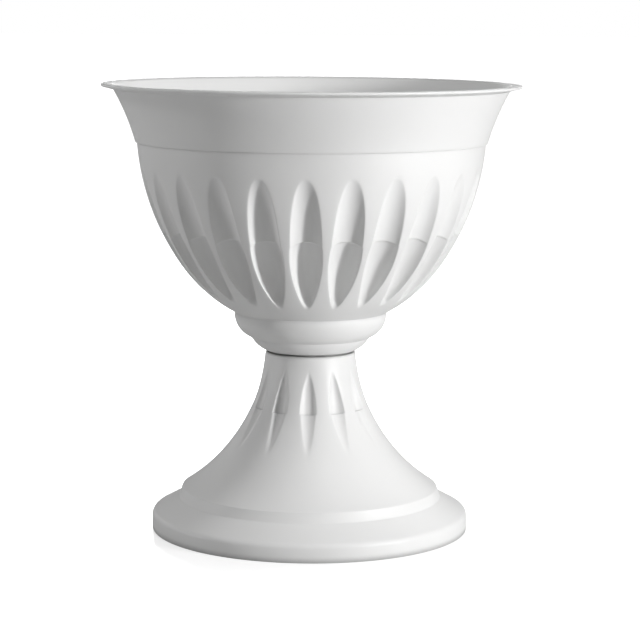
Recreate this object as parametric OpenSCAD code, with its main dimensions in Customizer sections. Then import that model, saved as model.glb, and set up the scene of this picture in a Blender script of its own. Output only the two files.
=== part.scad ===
// Two-part chalice vase in moulded plastic: a fluted bowl that lifts off a fluted, hollow pedestal.
// Lengths are in millimetres. The vase stands on z = 0, on the z axis, with a flute facing -Y.

/* [Walls and fit] */
// Thickness of the moulded walls
wall = 3; // [2.6:0.1:3.4]
// Gap all round between the bowl's spigot and the neck of the pedestal
fit_gap = 0.5; // [0.4:0.1:0.8]
// Shadow gap between the bowl's underside and the shoulder of the pedestal
reveal = 1.6; // [1:0.1:3]

/* [Lip and band] */
// Diameter across the lip
rim_d = 430; // [426:1:440]
// Height of the bowl from its underside to its lip
bowl_h = 274.4; // [272:0.1:280]
// How far the lip stands out from the band below it
lip_w = 12; // [9:0.5:14]
// Thickness of the lip at its edge
lip_t = 3; // [2.4:0.1:3.6]
// Thickness of the lip where it leaves the band
lip_root_t = 5.5; // [4.5:0.1:7]
// Radius that leads from the inside of the bowl onto the lip
lip_round = 6; // [4:0.5:8]
// Height of the plain flared band, lip included
band_h = 59.4; // [56:0.1:62]
// How far the lip reaches out beyond the foot of the band
band_reach = 34.3; // [32:0.1:36]
// Radius of the band's flare
band_flare_r = 245; // [200:1:320]
// How far the band stands proud of the belly
band_step = 1.8; // [1.2:0.1:2.4]

/* [Belly and collar] */
// Radius of the upper arc of the belly
belly_upper_r = 252; // [240:1:264]
// Radius of the lower arc of the belly
belly_lower_r = 158; // [152:1:164]
// Slope from the vertical where the two arcs meet
belly_turn = 35; // [30:1:40]
// Diameter of the crease between the belly and the upper roll
upper_roll_d = 157.6; // [155:0.1:160]
// Height of that crease above the bowl's underside
upper_roll_h = 39.8; // [38:0.1:42]
// Section radius of the upper roll
upper_roll_r = 24.8; // [23:0.1:28]
// Diameter of the crease between the two rolls
lower_roll_d = 123.6; // [121:0.1:126]
// Height of that crease above the bowl's underside
lower_roll_h = 13.8; // [12.5:0.1:15]
// Section radius of the lower roll
lower_roll_r = 29; // [26:0.5:34]
// Diameter of the bowl's underside round the spigot
bowl_foot_d = 93.6; // [92:0.1:96]

/* [Bowl flutes] */
// Number of flutes round the belly
bowl_flutes = 24; // [12:12:24]
// Height of a flute's lower tip above the bowl's underside
bowl_flute_bottom = 56; // [53:0.5:60]
// Height of the ledge inside each flute
bowl_flute_ledge = 120.5; // [117:0.5:125]
// Height of a flute's upper tip
bowl_flute_top = 190; // [184:0.5:196]
// Height over which the ledge slopes
bowl_ledge_h = 3; // [2:0.1:4]
// Width of a flute at its ledge
bowl_flute_w = 30.4; // [28:0.1:33]
// Depth of the shallow upper length of a flute at the ledge
bowl_flute_shallow = 10.2; // [8:0.1:10.4]
// Depth of the deep lower length of a flute at the ledge
bowl_flute_deep = 11.6; // [11.4:0.1:13.5]

/* [Pedestal] */
// Height of the pedestal's shoulder above the ground
pedestal_h = 186; // [182:1:192]
// Diameter of the neck at the shoulder
neck_d = 93.4; // [92:0.1:96]
// Radius of the sweep from the neck to the foot
sweep_r = 187.4; // [176:0.1:200]
// Diameter where the sweep meets the upper tier
tier_d = 266; // [262:1:270]
// Height where the sweep meets the upper tier
tier_h = 43.5; // [41:0.5:46]
// How far the upper tier spreads towards the ground
tier_spread = 3.5; // [2:0.1:5]
// Height of the corner between the two tiers
tier_foot_h = 33; // [31:0.5:35]
// Diameter of the foot on the ground
foot_d = 329; // [325:1:334]
// Height of the foot's side, corner included
foot_h = 18; // [16:0.5:20]
// Radius of the foot's corner
foot_round = 7; // [4:0.5:8]
// Radius of the small corners at the tier and the shoulder
small_round = 2; // [1:0.1:2.2]

/* [Pedestal flutes] */
// Number of flutes round the pedestal
pedestal_flutes = 12; // [6:6:12]
// Height of a flute's lower tip above the ground
pedestal_flute_bottom = 92.3; // [89:0.1:96]
// Height of the ledge inside each flute
pedestal_flute_ledge = 129; // [126:0.5:132]
// Height of a flute's upper tip
pedestal_flute_top = 169.5; // [166:0.1:172]
// Width of a flute's upper length at the ledge
pedestal_flute_w = 16.8; // [15:0.1:18]
// How much narrower each side of the lower length is
pedestal_flute_step = 0.8; // [0.4:0.1:1.2]
// Depth of the deep upper length of a flute at the ledge
pedestal_flute_deep = 5; // [4.4:0.1:5.6]
// Depth of the shallow lower length of a flute at the ledge
pedestal_flute_shallow = 3.5; // [3:0.1:4]

/* [Seat] */
// How far the bowl's spigot reaches down into the neck
spigot_h = 15; // [12:0.5:18]
// Number of ribs inside the neck that carry the bowl
seat_ribs = 6; // [3:3:6]
// Thickness of a seat rib
rib_t = 3; // [2.4:0.1:3.6]
// How far a seat rib reaches in from the wall of the neck
rib_reach = 9; // [7:0.5:11]
// Height of a seat rib
rib_h = 40; // [32:1:46]
// Number of keys that line the flutes of the bowl up with those of the pedestal
keys = 3; // [1:2:3]
// Width of a key
key_w = 8; // [6:0.5:10]
// How far a key stands in from the wall of the neck
key_reach = 1.7; // [1.4:0.1:2]

/* [Drain plug] */
// Diameter of the drain hole in the bowl's floor
drain_d = 18; // [14:1:24]
// Gap all round the plug's stem
plug_gap = 0.1; // [0.05:0.05:0.2]
// Diameter of the plug's head
plug_head_d = 28; // [26:1:34]
// Thickness of the plug's head
plug_head_t = 2.5; // [2:0.1:3]
// Height of the finger tab on the plug
tab_h = 9; // [7:0.5:12]
// Thickness of the finger tab
tab_t = 2.5; // [2:0.1:3]
// Width of the finger tab
tab_w = 14; // [10:0.5:16]

/* [Hidden] */
$fn = 96;
plastic = [0.93, 0.93, 0.92];
rubber = [0.86, 0.86, 0.84];
// Overrun of cuts, and how far the shallow length of a flute runs on past its ledge
over = 20;
flute_run = 3;
// How far the regions of a profile run on into their neighbours, and the share of its radius
// below its centre that the belly's lower arc reaches at most
arc_overlap = 5;
flattest = 0.98;
// How much wider each side of a bowl flute's lower length is, and the end radii of the lengths
bowl_flute_step = 0.3;
bowl_flute_nose = 2;
// How much a bowl flute's lower length draws in per height of its sloping ledge
ledge_draw = 0.6;
pedestal_upper_nose = 1;
pedestal_lower_nose = 6;
// Share of the wall that a key is sunk into it
key_sink = 0.7;
// Lead-in at the end of the plug's stem, and the bevel of its head
plug_lead = 1.5;
plug_edge = 0.5;
// Straight steps that make up one small round, and their angle round the edge of the lip
round_steps = 8;
lip_step = 30;
// Short cones that make up each of the belly's two arcs, and the end of a flute's cutter
belly_steps = 5;
flute_steps = 4;

// Points of a profile are [radius, height].
function unit(v) = v / norm(v);
// Point that lies at distance a from p and at distance b from q, on the left going from p to q
function meet(p, a, q, b) =
    let (d = norm(q - p), u = unit(q - p), x = (a * a - b * b + d * d) / (2 * d))
    p + x * u + sqrt(a * a - x * x) * [-u.y, u.x];
// Radius at height h of an arc that bulges outwards, or of one that is hollow
function bulging(centre, rad, h) = centre.x + sqrt(rad * rad - pow(h - centre.y, 2));
function hollow(centre, rad, h) = centre.x - sqrt(rad * rad - pow(h - centre.y, 2));

bowl_z = pedestal_h + reveal;
top_z = bowl_z + bowl_h;
step_z = top_z - band_h;

// Band: one hollow arc from its foot to the root of the lip
band_foot = [rim_d / 2 - band_reach, step_z];
lip_root = [rim_d / 2 - lip_w, top_z - lip_root_t];
band_c = meet(lip_root, band_flare_r, band_foot, band_flare_r);

// Belly: two arcs that share a tangent where they meet
belly_top = [band_foot.x - band_step, step_z];
belly_foot = [upper_roll_d / 2, bowl_z + upper_roll_h];
turn_dir = [cos(belly_turn), -sin(belly_turn)];
arc_shift = (belly_upper_r - belly_lower_r) * turn_dir;
lower_c = meet(belly_foot, belly_lower_r, belly_top + arc_shift, belly_upper_r);
upper_c = lower_c - arc_shift;
turn = lower_c + belly_lower_r * turn_dir;

// Collar: two rolls, each an arc through the creases above and below it
roll_crease = [lower_roll_d / 2, bowl_z + lower_roll_h];
bowl_foot = [bowl_foot_d / 2, bowl_z];
upper_roll_c = meet(roll_crease, upper_roll_r, belly_foot, upper_roll_r);
lower_roll_c = meet(bowl_foot, lower_roll_r, roll_crease, lower_roll_r);

// Pedestal: one hollow arc from the neck down to the upper tier
neck = [neck_d / 2, pedestal_h];
tier = [tier_d / 2, tier_h];
sweep_c = meet(neck, sweep_r, tier, sweep_r);

// Spigot and seat
neck_bore_r = neck_d / 2 - wall;
spigot_r = neck_bore_r - fit_gap;
seat_z = bowl_z - spigot_h;
key_turn = 360 / pedestal_flutes / 2;

function belly_r(h) =
    h < turn.y ? bulging(lower_c, belly_lower_r, h) : bulging(upper_c, belly_upper_r, h);
function sweep_at(h) = hollow(sweep_c, sweep_r, h);

// Region of the half plane under an arc, between two heights
module under_arc(centre, rad, low, high) {
    intersection() {
        translate(centre) circle(rad);
        translate([0, low]) square([rim_d, high - low]);
    }
}

// Region between the axis and a hollow arc, between two heights
module inside_hollow(centre, rad, low, high) {
    difference() {
        translate([0, low]) square([centre.x, high - low]);
        translate(centre) circle(rad);
    }
}

// Points along the round of radius rad that replaces corner b between a and c
function round_points(a, b, c, rad) =
    let (u = unit(a - b), v = unit(c - b), half = acos(u * v) / 2)
    let (centre = b + unit(u + v) * rad / sin(half), from = b + u * rad / tan(half) - centre)
    let (swing = sign(cross(u, v)) * (2 * half - 180))
    [for (i = [0:round_steps]) let (t = swing * i / round_steps)
        centre + [from.x * cos(t) - from.y * sin(t), from.x * sin(t) + from.y * cos(t)]];

// Cuts a convex corner of a profile back to its round. The first and the last step run on past
// the profile's edges, so that every cut crosses an edge instead of ending on it.
module corner_cut(a, b, c, rad) {
    p = round_points(a, b, c, rad);
    last = len(p) - 1;
    polygon(concat(
        [2 * p[0] - p[1]], [for (i = [1:last - 1]) p[i]], [2 * p[last] - p[last - 1]],
        [2 * b - p[round_steps / 2]]
    ));
}

// Points along an arc from one height to another, the first one left out
function arc_points(centre, rad, from, to) =
    let (a = asin((from - centre.y) / rad), b = asin((to - centre.y) / rad))
    [for (i = [1:belly_steps]) let (t = a + (b - a) * i / belly_steps)
        centre + rad * [cos(t), sin(t)]];

// Belly as a solid profile, inset by so much and run on at both ends
module belly_solid(inset, high) {
    low_r = belly_lower_r - inset;
    low = max(belly_foot.y - arc_overlap, lower_c.y - flattest * low_r);
    high_r = belly_upper_r - inset;
    join = lower_c.y + low_r * turn_dir.y;
    polygon(concat(
        [[0, low], [bulging(lower_c, low_r, low), low]],
        arc_points(lower_c, low_r, low, join), arc_points(upper_c, high_r, join, high),
        [[0, high]]
    ));
}

// Outside of the bowl as a solid profile. Neighbouring regions overlap, and cross at its creases.
module bowl_outside() {
    translate([0, seat_z]) square([spigot_r, turn.y - seat_z]);
    under_arc(lower_roll_c, lower_roll_r, bowl_z, upper_roll_c.y);
    translate(upper_roll_c) circle(upper_roll_r);
    belly_solid(0, step_z + arc_overlap);
    inside_hollow(band_c, band_flare_r, step_z, top_z - lip_t / 2);
    lip_end = [rim_d / 2 - lip_t / 2, top_z - lip_t / 2];
    lip_in = lip_root - unit(lip_end - [0, lip_t / 2] - lip_root) * 2 * wall;
    polygon(concat(
        [[0, lip_in.y], lip_in],
        [for (a = [-90:lip_step:90]) lip_end + lip_t / 2 * [cos(a), sin(a)]],
        [[0, top_z]]
    ));
}

// Inside of the bowl, one wall in from its outside and never wider below than above
module bowl_inside() {
    well_r = spigot_r - wall;
    roll_cap_r = upper_roll_d / 2 - 2 * wall;
    inner_step_z = step_z + wall;
    translate([0, seat_z + wall]) square([well_r, turn.y - seat_z]);
    intersection() {
        translate(lower_roll_c) circle(lower_roll_r - wall);
        translate([0, bowl_z]) square([upper_roll_c.x, upper_roll_c.y - bowl_z]);
    }
    intersection() {
        union() {
            translate(upper_roll_c) circle(upper_roll_r - wall);
            translate([0, upper_roll_c.y]) square([upper_roll_d, turn.y - upper_roll_c.y]);
        }
        translate([0, bowl_z]) square([roll_cap_r, turn.y - bowl_z]);
    }
    belly_solid(wall, inner_step_z + arc_overlap);
    inside_hollow(band_c, band_flare_r + wall, inner_step_z, top_z + over);
    lip_flare();
}

// Round that leads from the inside of the bowl onto the lip
module lip_flare() {
    inner_flare_r = band_flare_r + wall;
    round_z = top_z - lip_round;
    round_c = [hollow(band_c, inner_flare_r - lip_round, round_z), round_z];
    inwards = unit(round_c - band_c);
    start = atan2(inwards.y, inwards.x);
    swing = (90 - start) / round_steps;
    polygon(concat(
        [[0, round_z - lip_round], round_c + (lip_round + wall) * inwards - [0, lip_round]],
        [for (i = [1:round_steps]) let (t = start + i * swing)
            round_c + lip_round * [cos(t), sin(t)]],
        [[round_c.x, top_z + over], [0, top_z + over]]
    ));
}

// Body of revolution along +Z that cuts a flute: widest at its start, round towards its nose.
// back runs it on behind its start, drawn in by so much per length.
module flute_tool(start_r, nose_r, length, back, draw) {
    drop = start_r - nose_r;
    arc_r = (length * length + drop * drop) / (2 * drop);
    tip = sqrt(arc_r * arc_r - pow(arc_r - start_r, 2));
    rotate_extrude() polygon(concat(
        [[0, -back], [start_r - draw * back, -back]],
        [for (i = [0:flute_steps - 1]) let (s = tip * i / flute_steps)
            [start_r - arc_r + sqrt(arc_r * arc_r - s * s), s]],
        [[0, tip]]
    ));
}

// Radius of the circle through both edges and the bottom of a flute on a wall of radius r
function section_r(w, depth, r, tilt) =
    let (crown = (r - sqrt(r * r - w * w / 4)) * tilt, d = depth - crown)
    (w * w / 4 + d * d) / (2 * d);

// One length of a flute, from its ledge to its tip, in the meridian plane y = 0. grow makes it
// larger all round, for the inner side of the wall.
module flute_length(ledge, tip, out, w, depth, nose_r, back, grow, draw = 0) {
    rad = section_r(w, depth, ledge.x, out.x);
    straight = is_undef(nose_r);
    from = ledge + (rad - depth) * out;
    to = tip + (straight ? rad : nose_r) * out;
    axis = to - from;
    translate([from.x, 0, from.y]) rotate([0, atan2(axis.x, axis.y), 0])
        if (straight)
            translate([0, 0, -back]) cylinder(h = back + norm(axis) + over / 2, r = rad + grow);
        else
            flute_tool(rad + grow, nose_r + grow, norm(axis), back, draw);
}

// Two-level flute of the bowl: the lower length is the deep one and ends in a sloping ledge
module bowl_flute(grow) {
    low = bowl_z + bowl_flute_bottom;
    mid = bowl_z + bowl_flute_ledge;
    high = bowl_z + bowl_flute_top;
    ledge = [belly_r(mid), mid];
    bottom = [belly_r(low), low];
    top = [belly_r(high), high];
    along = unit(top - bottom);
    out = [along.y, -along.x];
    flute_length(ledge, top, out, bowl_flute_w, bowl_flute_shallow, undef, flute_run, grow);
    flute_length(
        ledge, bottom, out, bowl_flute_w + 2 * bowl_flute_step, bowl_flute_deep,
        bowl_flute_nose, bowl_ledge_h + grow, grow, ledge_draw
    );
}

// Two-level flute of the pedestal: here the upper length is the deep one
module pedestal_flute(grow) {
    ledge = [sweep_at(pedestal_flute_ledge), pedestal_flute_ledge];
    bottom = [sweep_at(pedestal_flute_bottom), pedestal_flute_bottom];
    top = [sweep_at(pedestal_flute_top), pedestal_flute_top];
    along = unit(top - bottom);
    out = [along.y, -along.x];
    flute_length(
        ledge, top, out, pedestal_flute_w, pedestal_flute_deep,
        pedestal_upper_nose, grow, grow
    );
    flute_length(
        ledge, bottom, out, pedestal_flute_w - 2 * pedestal_flute_step,
        pedestal_flute_shallow, pedestal_lower_nose, flute_run, grow
    );
}

// Copies round the z axis, the first one facing -Y turned by start
module around(count, start = 0) {
    for (i = [0:count - 1]) rotate([0, 0, start - 90 + i * 360 / count]) children();
}

module bowl() {
    slot_r = neck_bore_r - key_reach - fit_gap;
    slot_w = key_w + 2 * fit_gap;
    color(plastic) difference() {
        rotate_extrude() bowl_outside();
        difference() {
            rotate_extrude() bowl_inside();
            around(bowl_flutes) bowl_flute(wall);
        }
        around(bowl_flutes) bowl_flute(0);
        around(keys, key_turn)
            translate([slot_r, -slot_w / 2, seat_z - over])
                cube([over, slot_w, spigot_h - reveal + over]);
        translate([0, 0, seat_z - wall]) cylinder(h = 3 * wall, d = drain_d);
    }
}

// Outside of the pedestal as a solid profile
module pedestal_outside() {
    foot_corner = [foot_d / 2, foot_h];
    tier_foot = [tier_d / 2 + tier_spread, tier_foot_h];
    down_sweep = unit([sweep_c.y - tier.y, tier.x - sweep_c.x]);
    difference() {
        union() {
            polygon([[0, 0], [foot_d / 2, 0], foot_corner, tier_foot, tier, [0, tier_h]]);
            inside_hollow(sweep_c, sweep_r, tier_h, pedestal_h);
        }
        corner_cut([foot_d / 2, 0], foot_corner, tier_foot, foot_round);
        corner_cut(tier_foot, tier, tier - down_sweep, small_round);
        corner_cut([neck.x, 0], neck, [0, pedestal_h], small_round);
    }
}

// Corner b of a profile between a and c, moved one wall inwards; side is -1 where it is re-entrant
function inner_corner(a, b, c, side = 1) =
    let (u = unit(a - b), v = unit(c - b)) b + side * unit(u + v) * wall / sin(acos(u * v) / 2);

// Inside of the pedestal, one wall in from its outside and open to the ground
module pedestal_inside() {
    foot = [foot_d / 2, 0];
    foot_corner = [foot_d / 2, foot_h];
    tier_foot = [tier_d / 2 + tier_spread, tier_foot_h];
    inner_foot = inner_corner(foot, foot_corner, tier_foot);
    inner_tier_foot = inner_corner(foot_corner, tier_foot, tier, -1);
    inner_tier = [hollow(sweep_c, sweep_r + wall, tier_h - wall / 2), tier_h - wall / 2];
    up_sweep = unit([inner_tier.y - sweep_c.y, sweep_c.x - inner_tier.x]);
    difference() {
        union() {
            polygon([
                [0, -over], [inner_foot.x, -over], inner_foot, inner_tier_foot, inner_tier,
                [0, inner_tier.y + over]
            ]);
            inside_hollow(sweep_c, sweep_r + wall, inner_tier.y, pedestal_h + over);
        }
        corner_cut([inner_foot.x, 0], inner_foot, inner_tier_foot, foot_round - wall);
        corner_cut(inner_tier_foot, inner_tier, inner_tier + up_sweep, small_round);
    }
}

// Ribs inside the neck: the spigot's floor stands on their flat tops
module seat_rib() {
    inner_r = neck_bore_r - rib_reach;
    low = seat_z - rib_h;
    translate([0, rib_t / 2, 0]) rotate([90, 0, 0]) linear_extrude(rib_t)
        difference() {
            polygon([
                [inner_r, seat_z], [inner_r, seat_z - rib_reach],
                [sweep_at(low) - wall / 2, low], [sweep_at(low), seat_z]
            ]);
            translate(sweep_c) circle(sweep_r + wall / 2);
        }
}

// Key in line with a rib, sunk into the wall over its whole height
module key() {
    inner_r = neck_bore_r - key_reach;
    translate([inner_r, -key_w / 2, seat_z - small_round])
        cube([key_reach + key_sink * wall, key_w, spigot_h - reveal]);
}

module pedestal() {
    color(plastic) union() {
        difference() {
            rotate_extrude() pedestal_outside();
            difference() {
                rotate_extrude() pedestal_inside();
                around(pedestal_flutes) pedestal_flute(wall);
            }
            around(pedestal_flutes) pedestal_flute(0);
        }
        around(seat_ribs, key_turn) seat_rib();
        around(keys, key_turn) key();
    }
}

// Push-in plug: a head on the floor of the bowl, a stem through the drain hole and a finger tab
module drain_plug() {
    stem_r = drain_d / 2 - plug_gap;
    stem_end = seat_z - plug_lead;
    floor_z = seat_z + wall;
    color(rubber) union() {
        rotate_extrude() polygon([
            [0, stem_end], [stem_r - plug_lead, stem_end], [stem_r, seat_z],
            [stem_r, floor_z], [plug_head_d / 2, floor_z],
            [plug_head_d / 2, floor_z + plug_head_t - plug_edge],
            [plug_head_d / 2 - plug_edge, floor_z + plug_head_t], [0, floor_z + plug_head_t]
        ]);
        translate([0, tab_t / 2, floor_z + plug_head_t - plug_edge]) rotate([90, 0, 0])
            linear_extrude(tab_t) {
                translate([-tab_w / 2, 0]) square([tab_w, tab_h + plug_edge - tab_w / 2]);
                intersection() {
                    translate([0, tab_h + plug_edge - tab_w / 2]) circle(tab_w / 2);
                    translate([-tab_w / 2, 0]) square([tab_w, tab_h + plug_edge]);
                }
            }
    }
}

bowl();
pedestal();
drain_plug();
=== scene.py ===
import math

import bpy
import numpy as np
from mathutils import Euler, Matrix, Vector


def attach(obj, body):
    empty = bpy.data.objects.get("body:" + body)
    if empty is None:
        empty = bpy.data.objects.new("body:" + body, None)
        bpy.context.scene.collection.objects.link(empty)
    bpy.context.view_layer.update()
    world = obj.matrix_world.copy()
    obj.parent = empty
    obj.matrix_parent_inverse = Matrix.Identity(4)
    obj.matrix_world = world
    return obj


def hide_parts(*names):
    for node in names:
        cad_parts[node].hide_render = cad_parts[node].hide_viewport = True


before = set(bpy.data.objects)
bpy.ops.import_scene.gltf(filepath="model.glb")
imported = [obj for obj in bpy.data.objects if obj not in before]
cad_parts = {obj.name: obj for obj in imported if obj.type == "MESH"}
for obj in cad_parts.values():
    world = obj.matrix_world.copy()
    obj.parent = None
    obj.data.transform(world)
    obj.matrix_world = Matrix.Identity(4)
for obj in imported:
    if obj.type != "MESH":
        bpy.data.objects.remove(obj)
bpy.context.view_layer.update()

# Lengths are in millimetres up to the making of a mesh, and angles in degrees. The sizes and the
# frame are those of the CAD model: z up from the ground, a flute of each row facing -Y.
MM = 0.001
WALL = 3.0
REVEAL = 1.6
FACING = -90.0

# Bowl
RIM_D, BOWL_H = 430.0, 274.4
LIP_W, LIP_T, LIP_ROOT_T, LIP_ROUND = 12.0, 3.0, 5.5, 6.0
BAND_H, BAND_FOOT_D, BAND_FLARE_R, BAND_STEP = 59.4, 361.4, 245.0, 1.8
BELLY_UPPER_R, BELLY_LOWER_R, BELLY_TURN = 252.0, 158.0, 35.0
UPPER_ROLL_D, UPPER_ROLL_H, UPPER_ROLL_R = 157.6, 39.8, 24.8
LOWER_ROLL_D, LOWER_ROLL_H, LOWER_ROLL_R = 123.6, 13.8, 29.0
BOWL_FOOT_D = 93.6

# Pedestal
PEDESTAL_H, NECK_D, SWEEP_R = 186.0, 93.4, 187.4
TIER_D, TIER_H, TIER_SPREAD, TIER_FOOT_H = 266.0, 43.5, 3.5, 33.0
FOOT_D, FOOT_H, FOOT_ROUND, SMALL_ROUND = 329.0, 18.0, 7.0, 2.0

# Flutes: how many; heights of the lower tip, the ledge and the upper tip; width, depth and nose
# radius of the upper and of the lower tool; and the heights between which the wall is meshed with
# them. Heights are from the foot of their piece.
BOWL_FLUTES, BOWL_FLUTE_Z = 24, (56.0, 120.5, 190.0)
BOWL_FLUTE_UPPER, BOWL_FLUTE_LOWER = (30.4, 10.2, None), (31.0, 11.6, 2.0)
BOWL_LEDGE_SLOPE = 0.6
BOWL_FLUTED = (46.0, 203.0)
PEDESTAL_FLUTES, PEDESTAL_FLUTE_Z = 12, (92.3, 129.0, 169.5)
PEDESTAL_FLUTE_UPPER, PEDESTAL_FLUTE_LOWER = (16.8, 5.0, 1.0), (15.2, 3.5, 6.0)
PEDESTAL_FLUTED = (82.0, 180.0)

# Seat and drain. The ribs and the keys stand between two flutes of the pedestal.
FIT_GAP, SPIGOT_H = 0.5, 15.0
SEAT_RIBS, RIB_T, RIB_REACH, RIB_H = 6, 3.0, 9.0, 40.0
KEYS, KEY_W, KEY_REACH, KEY_SINK = 3, 8.0, 1.7, 0.7
SEAT_TURN = 180.0 / PEDESTAL_FLUTES
DRAIN_D = 18.0

BOWL_Z = PEDESTAL_H + REVEAL
TOP_Z = BOWL_Z + BOWL_H
STEP_Z = TOP_Z - BAND_H
SEAT_Z = BOWL_Z - SPIGOT_H
NECK_BORE_R = NECK_D / 2 - WALL
SPIGOT_R = NECK_BORE_R - FIT_GAP

# Mesh: spacing of its rows, and for the fluted walls that of the outside and of the inside
ROW_STEP, COARSE_STEP, BAND_ROW_STEP, RIB_ROW_STEP = 1.5, 4.0, 2.5, 3.0
BOWL_ROW_STEPS, PEDESTAL_ROW_STEPS = (1.5, 2.2), (1.2, 1.8)
# A row less than this from the one before it is dropped: by height, and where pieces of wall join
ROW_GAP, DOUBLE_ROW = 0.2, 0.12
# Heights of the rows next to a ledge, and how far the even rows stay away from them
LEDGE_ROWS = np.array([-3.2, -2.4, -1.5, -0.8, -0.25, 0.25, 0.8, 1.5, 2.0, 2.4, 2.8, 3.2])
LEDGE_REACH = LEDGE_ROWS[-1] + 0.4
# Length over which the rows and columns of a fluted wall turn into those of the plain wall
FADE_LENGTH = 16.0
# Columns of half a sector, as shares: inside the flute, dense towards its edge, then outside it
INSIDE = np.array([0.0, 0.16, 0.32, 0.47, 0.61, 0.73, 0.83, 0.90, 0.95, 0.985, 1.015])
OUTSIDE = np.array([0.05, 0.14, 0.34, 0.67])
# Half width that the columns follow, as a share of half a sector: on a plain wall, at the tip of a
# flute and at most; and the length beyond the tip over which it widens to that of a plain wall
PLAIN_SHARE, TIP_SHARE, WIDEST_SHARE = 0.72, 0.16, 0.93
BEYOND_TIP = 30.0
WIDTH_SAMPLES = 240

# Searches by halving: how often, how far a point of the wall is looked for above and below the
# ledge, and how far outside and inside the plain wall its fluted surface is looked for
HALVINGS = 40
WALL_SEARCH = 110.0
CUT_SEARCH = (-3.0, 26.0)

# Softened edges: the size of the round, the most of a side that it takes, how far its middle point
# lies from the corner, the angle from which a corner is left alone, and the gap between two points
# that are taken as one
EDGE = 0.7
EDGE_SHARE, EDGE_DIP, STRAIGHT, SAME_POINT = 0.45, 0.28, 168.0, 0.05
SHARP_ANGLE = 32.0
LIP_END_ANGLES = range(-90, 91, 15)
LIP_ROUND_POINTS, ROLL_POINTS, ROUND_STEPS = 10, 14, 8


# Plane geometry: points are [radius, height]
def unit(v):
    return v / np.linalg.norm(v)


def polar(degrees):
    return np.array([math.cos(math.radians(degrees)), math.sin(math.radians(degrees))])


def bearing(v):
    return math.degrees(math.atan2(v[1], v[0]))


def meet(p, a, q, b):
    """Point at distance a from p and b from q, on the left going from p to q."""
    d = np.linalg.norm(q - p)
    u = (q - p) / d
    x = (a * a - b * b + d * d) / (2 * d)
    return p + x * u + math.sqrt(a * a - x * x) * np.array([-u[1], u[0]])


def arc_r(centre, rad, z, side=1):
    """Radius at height z of an arc that bulges outwards, or with side -1 of a hollow one."""
    return centre[0] + side * np.sqrt(np.maximum(rad * rad - (z - centre[1]) ** 2, 0))


def arc_z(centre, rad, r):
    """Height at radius r of the lower half of a circle."""
    return centre[1] - math.sqrt(rad ** 2 - (r - centre[0]) ** 2)


def arc(centre, rad, z_from, z_to, side=1, step=ROW_STEP):
    """Points along an arc from one height to another."""
    a0, a1 = (math.asin((z - centre[1]) / rad) for z in (z_from, z_to))
    n = max(3, int(abs(a1 - a0) * rad / step))
    t = np.linspace(a0, a1, n)
    return np.stack([centre[0] + side * rad * np.cos(t), centre[1] + rad * np.sin(t)], 1)


def swept(centre, rad, angles):
    """Points of a circle at these angles."""
    return np.array([centre + rad * polar(a) for a in angles])


def line(*corners):
    """Points along straight stretches from corner to corner."""
    out = []
    for a, b in zip(corners[:-1], corners[1:]):
        a, b = np.array(a, float), np.array(b, float)
        n = max(2, int(np.linalg.norm(b - a) / COARSE_STEP) + 2)
        out.append(a + (b - a) * np.linspace(0, 1, n)[:, None])
    return np.concatenate(out)


def softened(points):
    """The polyline through the points with a small round at every corner, given as three points."""
    pts = [points[0]]
    for p in points[1:]:
        if np.linalg.norm(p - pts[-1]) > SAME_POINT:
            pts.append(p)
    out = [pts[0]]
    for a, b, c in zip(pts[:-2], pts[1:-1], pts[2:]):
        u, v = a - b, c - b
        lu, lv = np.linalg.norm(u), np.linalg.norm(v)
        u, v = u / lu, v / lv
        if u @ v > math.cos(math.radians(STRAIGHT)):
            cut = min(EDGE, EDGE_SHARE * lu, EDGE_SHARE * lv)
            out += [b + cut * u, b + cut * EDGE_DIP * (u + v), b + cut * v]
        else:
            out.append(b)
    return np.array(out + [pts[-1]])


def rounded(a, b, c, rad):
    """Points along the round of radius rad that replaces corner b between a and c."""
    u, v = unit(a - b), unit(c - b)
    half = math.acos(u @ v) / 2
    centre = b + unit(u + v) * rad / math.sin(half)
    p = b + u * rad / math.tan(half) - centre
    swing = np.sign(u[0] * v[1] - u[1] * v[0]) * (2 * half - math.pi)
    t = swing * np.linspace(0, 1, ROUND_STEPS + 1)
    return centre + np.stack([p[0] * np.cos(t) - p[1] * np.sin(t),
                              p[0] * np.sin(t) + p[1] * np.cos(t)], 1)


def inset_corner(a, b, c, side=1):
    """Corner b of the line from a to c, set one wall into its angle, or out of it with side -1."""
    u, v = unit(a - b), unit(c - b)
    half = math.acos(u @ v) / 2
    return b + side * unit(u + v) * WALL / math.sin(half)


def plan(r, phi):
    """x and y of points at radius r, phi degrees from the x axis."""
    return r * np.cos(np.radians(phi)), r * np.sin(np.radians(phi))


def halved(lo, hi, is_low):
    """Where is_low turns from true to false between lo and hi."""
    for _ in range(HALVINGS):
        mid = (lo + hi) / 2
        low = is_low(mid)
        lo, hi = np.where(low, mid, lo), np.where(low, hi, mid)
    return (lo + hi) / 2


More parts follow.
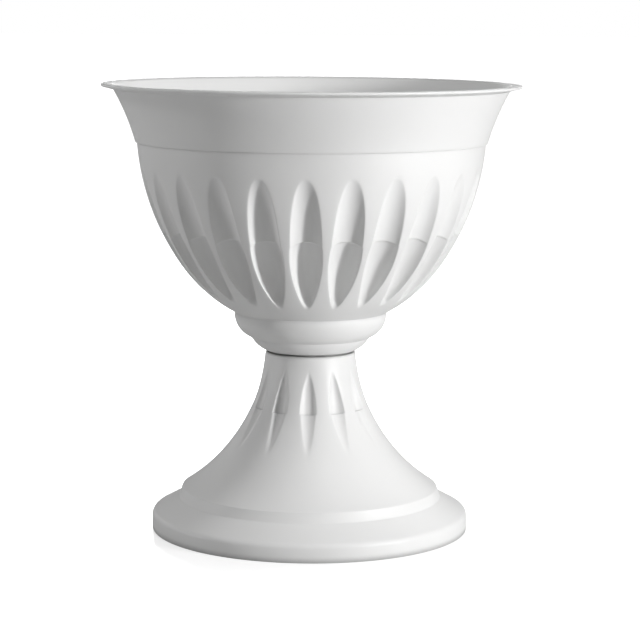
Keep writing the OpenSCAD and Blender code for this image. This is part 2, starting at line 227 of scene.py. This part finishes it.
# The arcs of the bowl, as in the CAD
band_foot = np.array([BAND_FOOT_D / 2, STEP_Z])
lip_root = np.array([RIM_D / 2 - LIP_W, TOP_Z - LIP_ROOT_T])
band_c = meet(lip_root, BAND_FLARE_R, band_foot, BAND_FLARE_R)
belly_top = np.array([BAND_FOOT_D / 2 - BAND_STEP, STEP_Z])
belly_foot = np.array([UPPER_ROLL_D / 2, BOWL_Z + UPPER_ROLL_H])
turn_dir = polar(-BELLY_TURN)
arc_shift = (BELLY_UPPER_R - BELLY_LOWER_R) * turn_dir
lower_c = meet(belly_foot, BELLY_LOWER_R, belly_top + arc_shift, BELLY_UPPER_R)
upper_c = lower_c - arc_shift
roll_crease = np.array([LOWER_ROLL_D / 2, BOWL_Z + LOWER_ROLL_H])
bowl_foot = np.array([BOWL_FOOT_D / 2, BOWL_Z])
upper_roll_c = meet(roll_crease, UPPER_ROLL_R, belly_foot, UPPER_ROLL_R)
lower_roll_c = meet(bowl_foot, LOWER_ROLL_R, roll_crease, LOWER_ROLL_R)

# The arc of the pedestal
neck = np.array([NECK_D / 2, PEDESTAL_H])
tier = np.array([TIER_D / 2, TIER_H])
sweep_c = meet(neck, SWEEP_R, tier, SWEEP_R)


class Belly:
    """Wall of the bowl between the collar and the band: two arcs with a shared tangent."""

    @staticmethod
    def radius(z, inset=0.0):
        """Radius at height z, inset by so much."""
        join = lower_c[1] + (BELLY_LOWER_R - inset) * turn_dir[1]
        return np.where(
            z < join,
            arc_r(lower_c, BELLY_LOWER_R - inset, z),
            arc_r(upper_c, BELLY_UPPER_R - inset, z),
        )

    @staticmethod
    def distance(rho, z):
        """Distance outside the wall at radius rho and height z."""
        across = (rho - lower_c[0]) * turn_dir[1] - (z - lower_c[1]) * turn_dir[0]
        low = np.hypot(rho - lower_c[0], z - lower_c[1]) - BELLY_LOWER_R
        high = np.hypot(rho - upper_c[0], z - upper_c[1]) - BELLY_UPPER_R
        return np.where(across > 0, low, high)


class Sweep:
    """Wall of the pedestal between the upper tier and the neck: one hollow arc."""

    @staticmethod
    def radius(z, inset=0.0):
        """Radius at height z, inset by so much."""
        return arc_r(sweep_c, SWEEP_R + inset, z, -1)

    @staticmethod
    def distance(rho, z):
        """Distance outside the wall at radius rho and height z."""
        return SWEEP_R - np.hypot(rho - sweep_c[0], z - sweep_c[1])


class Flutes:
    """A ring of two-level flutes in a wall.

    Each flute is cut by two tools, bodies of revolution that lie along it: one from the ledge to
    the upper tip and one from the ledge to the lower tip. A tool ends in a small nose at its tip,
    or is a plain cylinder where nose is None. The ledge is square to the flute. Where slope is
    given, the lower tool goes on above it and narrows by so much of its length, which makes a
    sloped ledge.

    The flute's own coordinates have their origin at the ledge on the plain wall: q outwards, h
    upwards along the flute and y across it.
    """

    def __init__(self, wall, count, heights, upper, lower, slope=None):
        self.wall, self.count, self.slope = wall, count, slope
        self.sector = 360.0 / count
        self.low, z, self.high = heights
        r0, r1, r2 = (float(wall.radius(np.array(height))) for height in heights)
        self.ledge = np.array([r1, z])
        self.along = unit(np.array([r2 - r0, self.high - self.low]))
        self.out = np.array([self.along[1], -self.along[0]])
        self.upper = self.tool(np.array([r2, self.high]), *upper)
        self.lower = self.tool(np.array([r0, self.low]), *lower)
        self.deep_above = upper[1] > lower[1]

    def local(self, x, z):
        """The flute's own coordinates q and h of a point."""
        dx, dz = x - self.ledge[0], z - self.ledge[1]
        return dx * self.out[0] + dz * self.out[1], dx * self.along[0] + dz * self.along[1]

    def tool(self, tip, width, depth, nose):
        """A tool that cuts this width and depth at the ledge and leaves the wall at the tip."""
        r = self.ledge[0]
        crown = (r - math.sqrt(r * r - width * width / 4)) * self.out[0]
        d = depth - crown
        rad = (width * width / 4 + d * d) / (2 * d)
        start = np.array([rad - depth, 0.0])
        rel = tip - self.ledge
        end = np.array([rel @ self.out + (rad if nose is None else nose), rel @ self.along])
        return {"from": start, "axis": unit(end - start), "length": np.linalg.norm(end - start),
                "rad": rad, "nose": nose}

    @staticmethod
    def tool_distance(tool, q, h, y):
        """Distance outside one tool."""
        dq, dh = q - tool["from"][0], h - tool["from"][1]
        s = dq * tool["axis"][0] + dh * tool["axis"][1]
        rho = np.sqrt(np.maximum(dq * dq + dh * dh - s * s, 0) + y * y)
        if tool["nose"] is None:
            return rho - tool["rad"]
        drop = tool["rad"] - tool["nose"]
        big = (tool["length"] ** 2 + drop ** 2) / (2 * drop)
        return np.hypot(rho - (tool["rad"] - big), np.maximum(s, 0)) - big

    def cut_distance(self, q, h, y):
        """Distance outside the two tools together, which meet at the ledge."""
        upper = self.tool_distance(self.upper, q, h, y)
        lower = self.tool_distance(self.lower, q, h, y)
        if self.slope is None:
            return np.minimum(np.maximum(upper, -h), np.maximum(lower, h))
        return np.minimum(np.maximum(upper, -h), lower + np.maximum(h, 0) * self.slope)

    def solid_distance(self, x, y, z):
        """Distance outside the fluted wall, with its edges softened."""
        q, h = self.local(x, z)
        a, b = self.wall.distance(np.hypot(x, y), z), -self.cut_distance(q, h, y)
        return (a + b + np.sqrt((a - b) ** 2 + EDGE ** 2)) / 2

    def wall_point(self, phi, h, inset):
        """Height on the plain wall, inset by so much, where the flute's own height is h."""
        c = np.cos(np.radians(phi))
        lo = np.full(np.broadcast(phi, h).shape, self.ledge[1] - WALL_SEARCH)
        return halved(lo, lo + 2 * WALL_SEARCH,
                      lambda z: self.local(self.wall.radius(z, inset) * c, z)[1] < h)

    def half_widths(self, z_at, inset):
        """Angle from a flute's middle to its edge on the wall, row by row, or 0 beyond its tips."""
        phi = np.linspace(0, self.sector / 2, WIDTH_SAMPLES)[None, :]
        z = z_at(phi)
        x, y = plan(self.wall.radius(z, inset), phi)
        q, h = self.local(x, z)
        inside = self.cut_distance(q, h, y) < inset
        return np.where(inside, phi, 0).max(axis=1)

    def row_heights(self, z_low, z_high, ledge_z, step):
        """Heights of the rows on the wall, even ones with closer ones next to the ledge."""
        z = np.arange(z_low, z_high + step / 2, step)
        z = z[np.abs(z - ledge_z) > LEDGE_REACH]
        z = np.sort(np.concatenate([z, ledge_z + LEDGE_ROWS, [z_low, z_high]]))
        return z[np.concatenate([[True], np.diff(z) > ROW_GAP])]

    def rows(self, z_low, z_high, inset, step):
        """Rows of points, from the bottom up, of one sector of the fluted wall."""
        ledge_h = -inset if self.deep_above else inset
        z = self.row_heights(z_low, z_high, self.ledge[1] + ledge_h, step)
        h = self.local(self.wall.radius(z, inset), z)[1][:, None]
        # the rows next to the ledge lie in planes square to the flute
        near = np.abs(h[:, 0] - ledge_h) < LEDGE_REACH
        h[near, 0] = z[near] - self.ledge[1]
        fade = np.clip(np.minimum(z - z_low, z_high - z) / FADE_LENGTH, 0, 1)[:, None]

        def height(phi):
            return z[:, None] + fade * (self.wall_point(phi, h, inset) - z[:, None])

        least, plain = TIP_SHARE * self.sector / 2, PLAIN_SHARE * self.sector / 2
        beyond = np.clip(np.maximum(self.low - z, z - self.high) / BEYOND_TIP, 0, 1)
        widths = np.maximum(self.half_widths(height, inset), least + (plain - least) * beyond)
        phi = columns(self.sector, plain + (widths - plain) * fade[:, 0])
        zz = height(phi)
        x, y = plan(self.wall.radius(zz, inset), phi)

        def outside(t):
            return self.solid_distance(x - t * self.out[0], y, zz - t * self.out[1]) > -inset

        t = halved(*(np.full(x.shape, limit) for limit in CUT_SEARCH), outside) * fade
        return np.stack([x - t * self.out[0], y, zz - t * self.out[1]], 2)


def columns(sector, widths):
    """Angles of the columns of one sector, for rows whose flute has these half widths."""
    w = np.asarray(widths, float)[:, None]
    w = np.minimum(w, WIDEST_SHARE * sector / 2)
    inner = w * INSIDE[None, :]
    last = inner[:, -1:]
    outer = last + (sector / 2 - last) * OUTSIDE[None, :]
    half = np.concatenate([inner, outer], 1)
    return np.concatenate([-half[:, :0:-1], half, np.full_like(w, sector / 2)], 1)


def ring_rows(sector_rows, count):
    """Rows all round from the rows of one sector."""
    x, y, z = sector_rows[..., 0], sector_rows[..., 1], sector_rows[..., 2]
    out = []
    for k in range(count):
        a = math.radians(FACING + 360.0 * k / count)
        c, s = math.cos(a), math.sin(a)
        out.append(np.stack([x * c - y * s, x * s + y * c, z], 2))
    return np.concatenate(out, 1)


def lathe_rows(points, count):
    """Rows all round of a body of revolution, one for each point of its profile."""
    sector = 360.0 / count
    phi = columns(sector, np.full(len(points), PLAIN_SHARE * sector / 2))
    r, z = points[:, 0:1], points[:, 1:2]
    return ring_rows(np.stack([*plan(r, phi), z + 0 * phi], 2), count)


def without_doubles(rows):
    """Drops a row that lies on the one before it."""
    keep = [rows[0]]
    for row in rows[1:]:
        if np.abs(row - keep[-1]).max() > DOUBLE_ROW:
            keep.append(row)
    if np.abs(keep[0] - keep[-1]).max() <= DOUBLE_ROW:
        keep.pop()
    return np.stack(keep)


def slots(rows, radius, width, top, count, start):
    """Sets the points of a spigot back to radius, inside slots of that width, below a height."""
    a = np.degrees(np.arctan2(rows[..., 1], rows[..., 0])) - FACING - start
    a = (a + 180.0 / count) % (360.0 / count) - 180.0 / count
    r = np.hypot(rows[..., 0], rows[..., 1])
    inside = (np.abs(r * np.sin(np.radians(a))) < width / 2) & (rows[..., 2] < top) & (r > radius)
    scale = np.where(inside, radius / np.maximum(r, 1), 1.0)
    rows = rows.copy()
    rows[..., 0] *= scale
    rows[..., 1] *= scale
    return rows


# Building of objects
def finish_mesh(name, verts, faces, body):
    """A mesh object in metres that rides on a body, smooth except at its sharp edges."""
    mesh = bpy.data.meshes.new(name)
    mesh.from_pydata((np.asarray(verts, float) * MM).tolist(), [], faces)
    mesh.validate()
    mesh.shade_smooth()
    mesh.set_sharp_from_angle(angle=math.radians(SHARP_ANGLE))
    mesh.materials.append(plastic)
    obj = bpy.data.objects.new(name, mesh)
    bpy.context.scene.collection.objects.link(obj)
    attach(obj, body)
    return obj


def closed_shell(name, rows, body):
    """A closed surface through rows of points that run all round, the last joined to the first."""
    n, m = rows.shape[:2]
    i, j = np.meshgrid(np.arange(n), np.arange(m), indexing="ij")
    a = i * m + j
    b = i * m + (j + 1) % m
    c = ((i + 1) % n) * m + (j + 1) % m
    d = ((i + 1) % n) * m + j
    faces = np.stack([a, b, c, d], 2).reshape(-1, 4)
    return finish_mesh(name, rows.reshape(-1, 3), faces.tolist(), body)


def extruded(name, outline, thickness, turn):
    """A plate of the pedestal from an outline of [radius, height], in a meridian plane."""
    n = len(outline)
    a = math.radians(FACING + turn)
    c, s = math.cos(a), math.sin(a)
    verts = [(r * c - side * s, r * s + side * c, z)
             for side in (-thickness / 2, thickness / 2) for r, z in outline]
    faces = [list(range(n))[::-1], list(range(n, 2 * n))]
    faces += [[i, (i + 1) % n, n + (i + 1) % n, n + i] for i in range(n)]
    obj = finish_mesh(name, verts, faces, "pedestal")


# Materials, with their lengths in metres
# Scale and detail of the noise behind each trait, and strength of the bumps
CLOUD_NOISE, GLOSS_NOISE = (9.0, 3.0), (60.0, 4.0)
GRAIN_NOISE, RIPPLE_NOISE = (900.0, 2.0), (22.0, 1.0)
GRAIN_STRENGTH, RIPPLE_STRENGTH, RIPPLE_DEPTH = 0.35, 0.25, 0.0004
NOISE_RANGE = (0.3, 0.7)
GLOSS_SPREAD = 0.04
SPECULAR, REFRACTION = 0.45, 1.49
# Painted shade: the plastic's colour is darkened in its creases, down to the shade's share of its
# colour, as the open share of its surroundings within reach falls through this range
PAINTED_SHADE_REACH, PAINTED_SHADE_SHARE, PAINTED_SHADE_RANGE, PAINTED_SHADE_SAMPLES = 0.008, 0.35, (0.2, 0.9), 12


def map_range(tree, value, source, target, kind="LINEAR"):
    """Maps a value from one range to another, and holds it there."""
    node = tree.nodes.new("ShaderNodeMapRange")
    node.interpolation_type = kind
    for name, number in zip(("From Min", "From Max", "To Min", "To Max"), source + target):
        node.inputs[name].default_value = number
    tree.links.new(value, node.inputs["Value"])
    return node.outputs["Result"]


def moulded_plastic(name, colour, roughness, grain, mottle):
    """Moulded plastic: a faint cloudiness in its colour, fine grain, slow ripples, and painted
    shade in its creases.
    """
    mat = bpy.data.materials.new(name)
    mat.use_nodes = True
    tree = mat.node_tree
    nodes, links = tree.nodes, tree.links
    bsdf = nodes["Principled BSDF"]
    bsdf.inputs["Specular IOR Level"].default_value = SPECULAR
    bsdf.inputs["IOR"].default_value = REFRACTION
    coords = nodes.new("ShaderNodeTexCoord")

    def noise(scale, detail):
        node = nodes.new("ShaderNodeTexNoise")
        node.inputs["Scale"].default_value = scale
        node.inputs["Detail"].default_value = detail
        links.new(coords.outputs["Object"], node.inputs["Vector"])
        return node.outputs["Fac"]

    def bump(height, strength, depth):
        node = nodes.new("ShaderNodeBump")
        node.inputs["Strength"].default_value = strength
        node.inputs["Distance"].default_value = depth
        links.new(height, node.inputs["Height"])
        return node

    cloud = nodes.new("ShaderNodeMix")
    cloud.data_type = "RGBA"
    cloud.inputs["A"].default_value = (*[c * (1 - mottle) for c in colour], 1)
    cloud.inputs["B"].default_value = (*colour, 1)
    amount = map_range(tree, noise(*CLOUD_NOISE), NOISE_RANGE, (0.0, 1.0))
    links.new(amount, cloud.inputs["Factor"])

    # painted shade: ambient occlusion darkens the base colour in creases, gaps and ledge corners
    painted_shade_ao = nodes.new("ShaderNodeAmbientOcclusion")
    painted_shade_ao.samples = PAINTED_SHADE_SAMPLES
    painted_shade_ao.inputs["Distance"].default_value = PAINTED_SHADE_REACH
    shade = nodes.new("ShaderNodeMix")
    shade.data_type = "RGBA"
    shade.blend_type = "MULTIPLY"
    shade.inputs["Factor"].default_value = 1.0
    links.new(cloud.outputs["Result"], shade.inputs["A"])
    painted_shade_tint = map_range(tree, painted_shade_ao.outputs["AO"], PAINTED_SHADE_RANGE, (PAINTED_SHADE_SHARE, 1.0))
    links.new(painted_shade_tint, shade.inputs["B"])
    links.new(shade.outputs["Result"], bsdf.inputs["Base Color"])

    gloss = (roughness - GLOSS_SPREAD, roughness + GLOSS_SPREAD)
    links.new(map_range(tree, noise(*GLOSS_NOISE), NOISE_RANGE, gloss), bsdf.inputs["Roughness"])
    fine = bump(noise(*GRAIN_NOISE), GRAIN_STRENGTH, grain)
    slow = bump(noise(*RIPPLE_NOISE), RIPPLE_STRENGTH, RIPPLE_DEPTH)
    links.new(fine.outputs["Normal"], slow.inputs["Normal"])
    links.new(slow.outputs["Normal"], bsdf.inputs["Normal"])
    return mat


plastic = moulded_plastic(
    "white_plastic", colour=(0.83, 0.83, 0.825), roughness=0.46, grain=0.00006, mottle=0.012)
plug_plastic = moulded_plastic(
    "plug_plastic", colour=(0.78, 0.78, 0.76), roughness=0.38, grain=0.00004, mottle=0.02)


# The bowl, from three profiles and two stretches of fluted wall
def bowl_underside(low, floor_z, hole_r):
    """Profile of the outside, from the drain hole up to the flutes."""
    return softened(np.concatenate([
        line((hole_r, floor_z), (hole_r, SEAT_Z), (SPIGOT_R, SEAT_Z), (SPIGOT_R, BOWL_Z),
             bowl_foot),
        arc(lower_roll_c, LOWER_ROLL_R, BOWL_Z, roll_crease[1])[1:],
        arc(upper_roll_c, UPPER_ROLL_R, roll_crease[1], belly_foot[1])[1:],
        arc(lower_c, BELLY_LOWER_R, belly_foot[1], low)[1:],
    ]))


def bowl_rim(high):
    """Profile from the flutes up to the lip and down its inner side."""
    end = swept(np.array([RIM_D / 2 - LIP_T / 2, TOP_Z - LIP_T / 2]), LIP_T / 2, LIP_END_ANGLES)
    inner_flare = BAND_FLARE_R + WALL
    round_z = TOP_Z - LIP_ROUND
    round_c = np.array([arc_r(band_c, inner_flare - LIP_ROUND, round_z, -1), round_z])
    turn = np.linspace(90, bearing(round_c - band_c), LIP_ROUND_POINTS)
    lead = swept(round_c, LIP_ROUND, turn)
    inner_step = STEP_Z + WALL
    return softened(np.concatenate([
        arc(upper_c, BELLY_UPPER_R, high, STEP_Z)[1:],
        arc(band_c, BAND_FLARE_R, STEP_Z, lip_root[1], -1, BAND_ROW_STEP),
        line(lip_root, end[0])[1:-1], end, lead,
        arc(band_c, inner_flare, lead[-1][1], inner_step, -1, BAND_ROW_STEP)[1:],
        arc(upper_c, BELLY_UPPER_R - WALL, inner_step, high),
    ]))


def bowl_inside(low, floor_z, hole_r):
    """Profile of the inside, from the flutes down to the drain hole."""
    cap_r, throat_r, well_r = UPPER_ROLL_D / 2 - 2 * WALL, upper_roll_c[0], SPIGOT_R - WALL
    belly_in, upper_in, lower_in = BELLY_LOWER_R - WALL, UPPER_ROLL_R - WALL, LOWER_ROLL_R - WALL
    belly_z = arc_z(lower_c, belly_in, cap_r)
    cap_z = arc_z(upper_roll_c, upper_in, cap_r)
    throat_z, well_z = (arc_z(lower_roll_c, lower_in, r) for r in (throat_r, well_r))
    turn = np.linspace(bearing(np.array([cap_r, cap_z]) - upper_roll_c), -90, ROLL_POINTS)
    roll = swept(upper_roll_c, upper_in, turn)
    return softened(np.concatenate([
        arc(lower_c, belly_in, low, belly_z)[1:],
        line((cap_r, belly_z), (cap_r, cap_z))[1:],
        roll,
        line((throat_r, roll[-1][1]), (throat_r, throat_z))[1:],
        arc(lower_roll_c, lower_in, throat_z, well_z)[1:],
        line((well_r, well_z), (well_r, floor_z), (hole_r, floor_z))[1:],
    ]))


def make_bowl():
    heights = [BOWL_Z + z for z in BOWL_FLUTE_Z]
    flutes = Flutes(
        Belly, BOWL_FLUTES, heights, BOWL_FLUTE_UPPER, BOWL_FLUTE_LOWER, BOWL_LEDGE_SLOPE)
    n = flutes.count
    low, high = (BOWL_Z + z for z in BOWL_FLUTED)
    outer_step, inner_step = BOWL_ROW_STEPS
    floor_z, hole_r = SEAT_Z + WALL, DRAIN_D / 2
    slot_r = NECK_BORE_R - KEY_REACH - FIT_GAP
    under = slots(lathe_rows(bowl_underside(low, floor_z, hole_r), n),
                  slot_r, KEY_W + 2 * FIT_GAP, BOWL_Z - REVEAL, KEYS, SEAT_TURN)
    rows = np.concatenate([
        under,
        ring_rows(flutes.rows(low, high, 0.0, outer_step), n),
        lathe_rows(bowl_rim(high), n),
        ring_rows(flutes.rows(low, high, WALL, inner_step), n)[::-1],
        lathe_rows(bowl_inside(low, floor_z, hole_r), n),
    ])
    bowl = closed_shell("bowl_moulding", without_doubles(rows), "bowl")
    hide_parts("bowl")


def make_pedestal():
    flutes = Flutes(
        Sweep, PEDESTAL_FLUTES, PEDESTAL_FLUTE_Z, PEDESTAL_FLUTE_UPPER, PEDESTAL_FLUTE_LOWER)
    n = flutes.count
    low, high = PEDESTAL_FLUTED
    outer_step, inner_step = PEDESTAL_ROW_STEPS
    foot = np.array([FOOT_D / 2, 0.0])
    foot_corner = np.array([FOOT_D / 2, FOOT_H])
    tier_foot = np.array([TIER_D / 2 + TIER_SPREAD, TIER_FOOT_H])
    inner_foot = inset_corner(foot, foot_corner, tier_foot)
    inner_tier_foot = inset_corner(foot_corner, tier_foot, tier, -1)
    inner_tier_z = TIER_H - WALL / 2
    down = unit(np.array([sweep_c[1] - tier[1], tier[0] - sweep_c[0]]))
    tier_round = rounded(tier_foot, tier, tier - down, SMALL_ROUND)
    neck_round = rounded(np.array([neck[0], 0.0]), neck, np.array([0.0, PEDESTAL_H]), SMALL_ROUND)
    outside = softened(np.concatenate([
        line((inner_foot[0], 0.0), foot),
        rounded(foot, foot_corner, tier_foot, FOOT_ROUND),
        tier_foot[None, :],
        tier_round,
        arc(sweep_c, SWEEP_R, tier_round[-1][1], low, -1, COARSE_STEP)[1:],
    ]))
    top = softened(np.concatenate([
        arc(sweep_c, SWEEP_R, high, neck_round[0][1], -1)[1:],
        neck_round,
        line(neck_round[-1], (arc_r(sweep_c, SWEEP_R + WALL, PEDESTAL_H, -1), PEDESTAL_H)),
        arc(sweep_c, SWEEP_R + WALL, PEDESTAL_H, high, -1)[1:],
    ]))
    inside = softened(np.concatenate([
        arc(sweep_c, SWEEP_R + WALL, low, inner_tier_z, -1, COARSE_STEP)[1:],
        inner_tier_foot[None, :],
        line(inner_foot, (inner_foot[0], 0.0)),
    ]))
    rows = np.concatenate([
        lathe_rows(outside, n),
        ring_rows(flutes.rows(low, high, 0.0, outer_step), n),
        lathe_rows(top, n),
        ring_rows(flutes.rows(low, high, WALL, inner_step), n)[::-1],
        lathe_rows(inside, n),
    ])
    shell = closed_shell("pedestal_moulding", without_doubles(rows), "pedestal")
    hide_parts("pedestal")


def make_seat():
    """The ribs that carry the bowl, and the keys that line it up."""
    reach_r = NECK_BORE_R - RIB_REACH
    back = arc(sweep_c, SWEEP_R + WALL / 2, SEAT_Z - RIB_H, SEAT_Z, -1, RIB_ROW_STEP)
    rib = [(reach_r, SEAT_Z), (reach_r, SEAT_Z - RIB_REACH)] + [tuple(p) for p in back]
    for k in range(SEAT_RIBS):
        extruded(f"seat_rib_{k + 1}", rib, RIB_T, SEAT_TURN + 360.0 * k / SEAT_RIBS)
    key_r, key_top = NECK_BORE_R - KEY_REACH, PEDESTAL_H - SMALL_ROUND
    wall_r, key_foot = NECK_BORE_R + KEY_SINK * WALL, SEAT_Z - SMALL_ROUND
    key = [(key_r, key_foot), (wall_r, key_foot), (wall_r, key_top), (key_r, key_top)]
    for k in range(KEYS):
        extruded(f"key_{k + 1}", key, KEY_W, SEAT_TURN + 360.0 * k / KEYS)


# Camera: the photograph's, found from the rim, the collar and the foot
FOCAL_PX, FRAME_PX, SENSOR = 2245.5, 640.0, 36.0
CAMERA_DISTANCE, CAMERA_HEIGHT, CAMERA_AZIMUTH = 2308.9, 549.6, 1.8
CAMERA_PITCH, CAMERA_YAW, CAMERA_ROLL = 8.18, 0.243, 0.36
CAMERA_CLIP = 100.0


def make_camera():
    data = bpy.data.cameras.new("camera")
    data.sensor_width = SENSOR
    data.lens = FOCAL_PX / FRAME_PX * SENSOR
    data.clip_end = CAMERA_CLIP
    camera = bpy.data.objects.new("camera", data)
    a = math.radians(CAMERA_AZIMUTH)
    camera.location = Vector((math.sin(a), -math.cos(a), 0)) * CAMERA_DISTANCE * MM
    camera.location.z = CAMERA_HEIGHT * MM
    yaw = a - math.radians(CAMERA_YAW)
    pointed = Euler((math.radians(90 - CAMERA_PITCH), 0, yaw)).to_matrix()
    rolled = Euler((0, 0, math.radians(CAMERA_ROLL))).to_matrix()
    camera.rotation_euler = (pointed @ rolled).to_euler()
    bpy.context.scene.collection.objects.link(camera)
    bpy.context.scene.camera = camera


# Light: a small hard key low on the right, and broad weak lamps round the vase that open the shade.
# Azimuth 0 is the photographer's side; sizes in metres, powers in watts.
LAMP_DISTANCE, LAMP_AIM_Z = 3.0, 0.25
LAMPS = [
    # name, azimuth, elevation, size, power
    ("key", 56, 9, 0.35, 71),
    ("top_front", 30, 63, 1.0, 17),
    ("left_high", -75, 40, 0.6, 11),
    ("left_low", -85, 8, 0.6, 12),
    ("back_right", 150, 35, 1.2, 8),
    ("back", 180, 8, 1.2, 13),
    ("back_left", -140, 10, 1.2, 5),
]
# The background is white to the camera and gives the scene this much light
ROOM_LIGHT, BACKDROP = 0.10, 1.0


def lamp(name, azimuth, elevation, size, power):
    """An area lamp that faces the middle of the vase."""
    data = bpy.data.lights.new(name, "AREA")
    data.shape = "DISK"
    data.size = size
    data.energy = power
    obj = bpy.data.objects.new(name, data)
    a, e = math.radians(azimuth + CAMERA_AZIMUTH), math.radians(elevation)
    away = Vector((math.sin(a) * math.cos(e), -math.cos(a) * math.cos(e), math.sin(e)))
    obj.location = Vector((0, 0, LAMP_AIM_Z)) + away * LAMP_DISTANCE
    obj.rotation_euler = (-away).to_track_quat("-Z", "Y").to_euler()
    bpy.context.scene.collection.objects.link(obj)


def make_light():
    for row in LAMPS:
        lamp(*row)
    world = bpy.data.worlds.new("world")
    bpy.context.scene.world = world
    world.use_nodes = True
    nodes, links = world.node_tree.nodes, world.node_tree.links
    background = nodes["Background"]
    path = nodes.new("ShaderNodeLightPath")
    strength = nodes.new("ShaderNodeMix")
    strength.inputs["A"].default_value = ROOM_LIGHT
    strength.inputs["B"].default_value = BACKDROP
    links.new(path.outputs["Is Camera Ray"], strength.inputs["Factor"])
    links.new(strength.outputs["Result"], background.inputs["Strength"])
    background.inputs["Color"].default_value = (1, 1, 1, 1)


# The floor glows to the camera only, and so shows as white. The glow rises between two distances
# from the vase's axis, because near the foot the floor has to be dark enough to keep the shadow.
FLOOR_GLOW = (0.58, 1.2)
FLOOR_GLOW_RADII = (0.17, 0.42)
FLOOR_COLOUR, FLOOR_ROUGHNESS, FLOOR_SPECULAR = (0.60, 0.60, 0.60, 1), 0.25, 0.3
FLOOR_HALF = 30.0


def make_floor():
    mat = bpy.data.materials.new("floor")
    mat.use_nodes = True
    tree = mat.node_tree
    nodes, links = tree.nodes, tree.links
    bsdf = nodes["Principled BSDF"]
    bsdf.inputs["Base Color"].default_value = FLOOR_COLOUR
    bsdf.inputs["Roughness"].default_value = FLOOR_ROUGHNESS
    bsdf.inputs["Specular IOR Level"].default_value = FLOOR_SPECULAR
    bsdf.inputs["Emission Color"].default_value = (1, 1, 1, 1)
    path = nodes.new("ShaderNodeLightPath")
    place = nodes.new("ShaderNodeNewGeometry")
    radius = nodes.new("ShaderNodeVectorMath")
    radius.operation = "LENGTH"
    links.new(place.outputs["Position"], radius.inputs[0])
    glow = nodes.new("ShaderNodeMath")
    glow.operation = "MULTIPLY"
    links.new(path.outputs["Is Camera Ray"], glow.inputs[0])
    rise = map_range(tree, radius.outputs["Value"], FLOOR_GLOW_RADII, FLOOR_GLOW, "SMOOTHSTEP")
    links.new(rise, glow.inputs[1])
    links.new(glow.outputs["Value"], bsdf.inputs["Emission Strength"])
    s = FLOOR_HALF
    mesh = bpy.data.meshes.new("floor")
    mesh.from_pydata([(-s, -s, 0), (s, -s, 0), (s, s, 0), (-s, s, 0)], [], [(0, 1, 2, 3)])
    mesh.materials.append(mat)
    floor = bpy.data.objects.new("floor", mesh)
    bpy.context.scene.collection.objects.link(floor)


make_camera()
make_light()
make_floor()
make_bowl()
make_pedestal()
make_seat()
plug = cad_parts["drain_plug"]
plug.data.materials.clear()
plug.data.materials.append(plug_plastic)

scene = bpy.context.scene
scene.view_settings.view_transform = "Standard"
